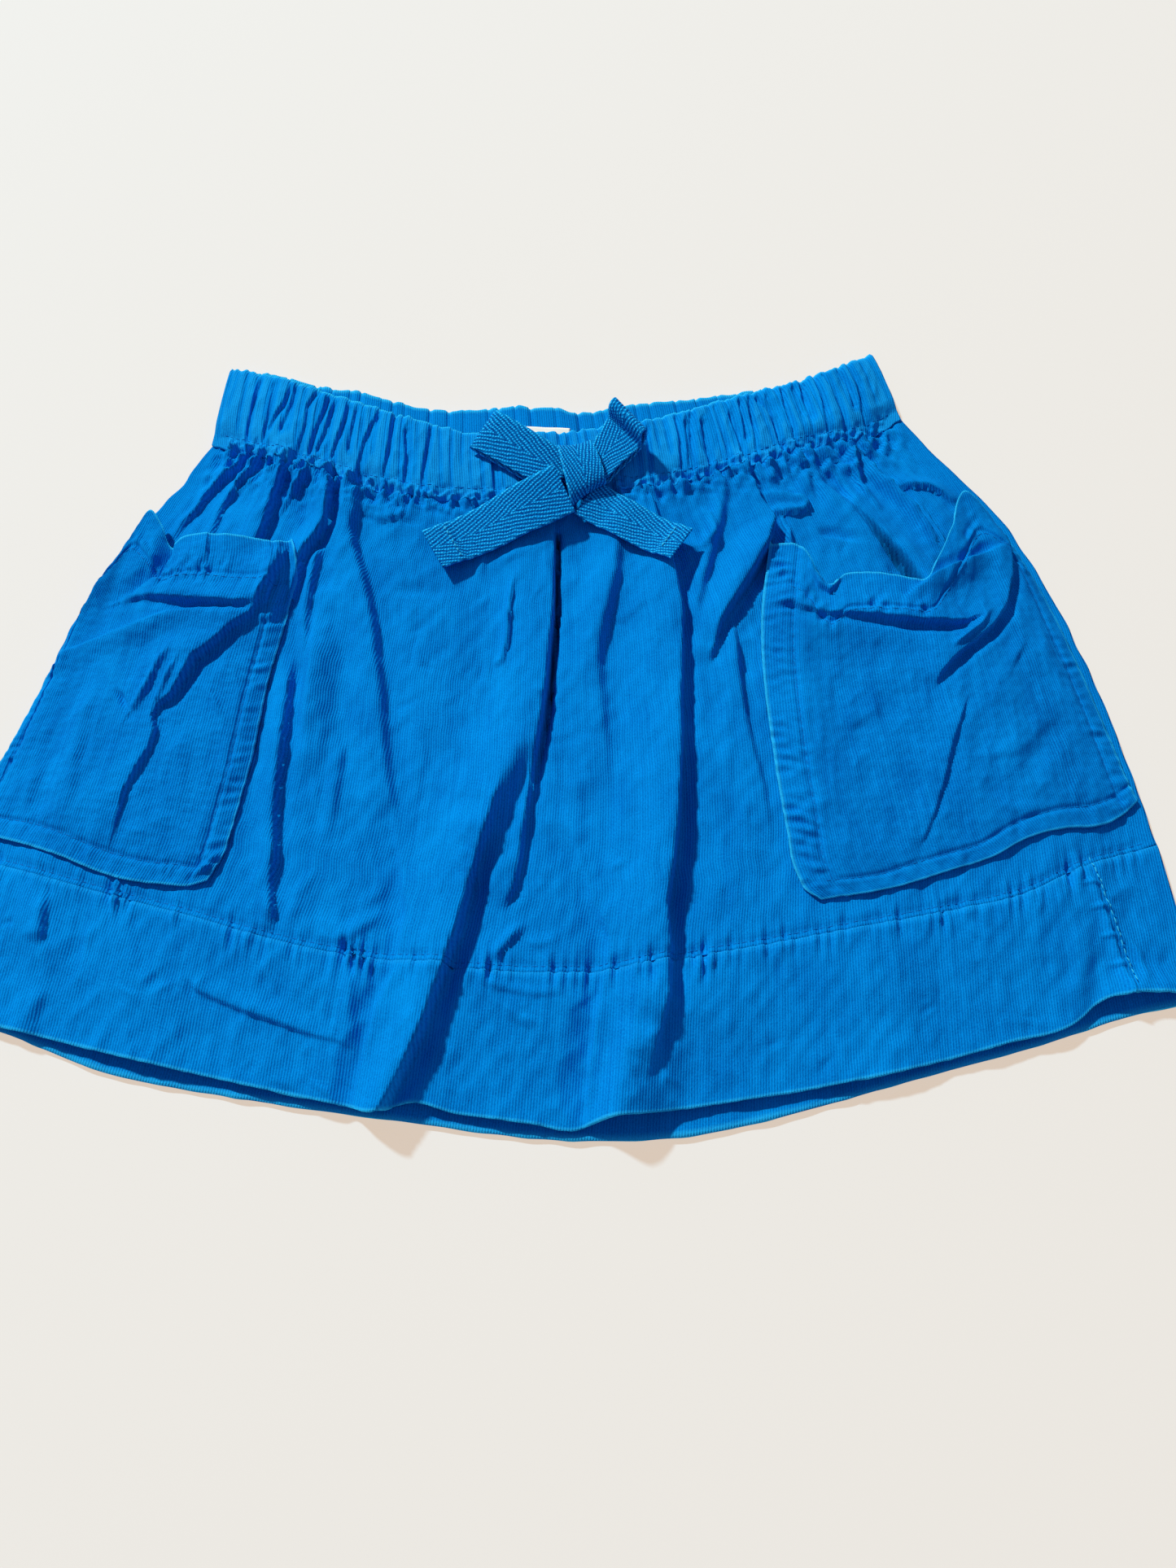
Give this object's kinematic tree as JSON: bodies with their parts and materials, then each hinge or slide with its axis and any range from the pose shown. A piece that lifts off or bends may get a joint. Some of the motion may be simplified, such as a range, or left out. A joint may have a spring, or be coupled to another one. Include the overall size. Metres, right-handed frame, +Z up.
{
  "type": "corduroy skirt",
  "caption": "Child's gathered corduroy skirt lying flat, with an elastic waistband, patch pockets, a deep hem band and a tied tape bow.",
  "frame": {"origin": "middle of the bounding box in plan, on the surface that the skirt lies on", "axes": "+X to the right as the front is seen, +Y towards the waistband, +Z up off the surface"},
  "size_m": [0.4262, 0.2978, 0.0215],
  "materials": {
    "front_corduroy": "pincord corduroy, washed",
    "hem_front_corduroy": "pincord corduroy, washed",
    "back_corduroy": "pincord corduroy, washed",
    "hem_back_corduroy": "pincord corduroy, washed",
    "band_front_corduroy": "pincord corduroy, gathered on elastic",
    "band_back_corduroy": "pincord corduroy, gathered on elastic",
    "pocket_left_corduroy": "pincord corduroy, washed",
    "pocket_right_corduroy": "pincord corduroy, washed",
    "knot_twill": "herringbone twill tape",
    "loop_left_twill": "herringbone twill tape",
    "loop_right_twill": "herringbone twill tape",
    "tail_left_twill": "herringbone twill tape",
    "tail_right_twill": "herringbone twill tape",
    "label_satin": "white satin, blank"
  },
  "bodies": {
    "root": {"skirt_front": "front_corduroy", "hem_band_front": "hem_front_corduroy", "skirt_back": "back_corduroy", "hem_band_back": "hem_back_corduroy", "waistband_front": "band_front_corduroy", "waistband_back": "band_back_corduroy", "pocket_left": "pocket_left_corduroy", "pocket_right": "pocket_right_corduroy", "bow_knot": "knot_twill", "bow_loop_left": "loop_left_twill", "bow_loop_right": "loop_right_twill", "bow_tail_left": "tail_left_twill", "bow_tail_right": "tail_right_twill", "label": "label_satin"}
  },
  "joints": []
}
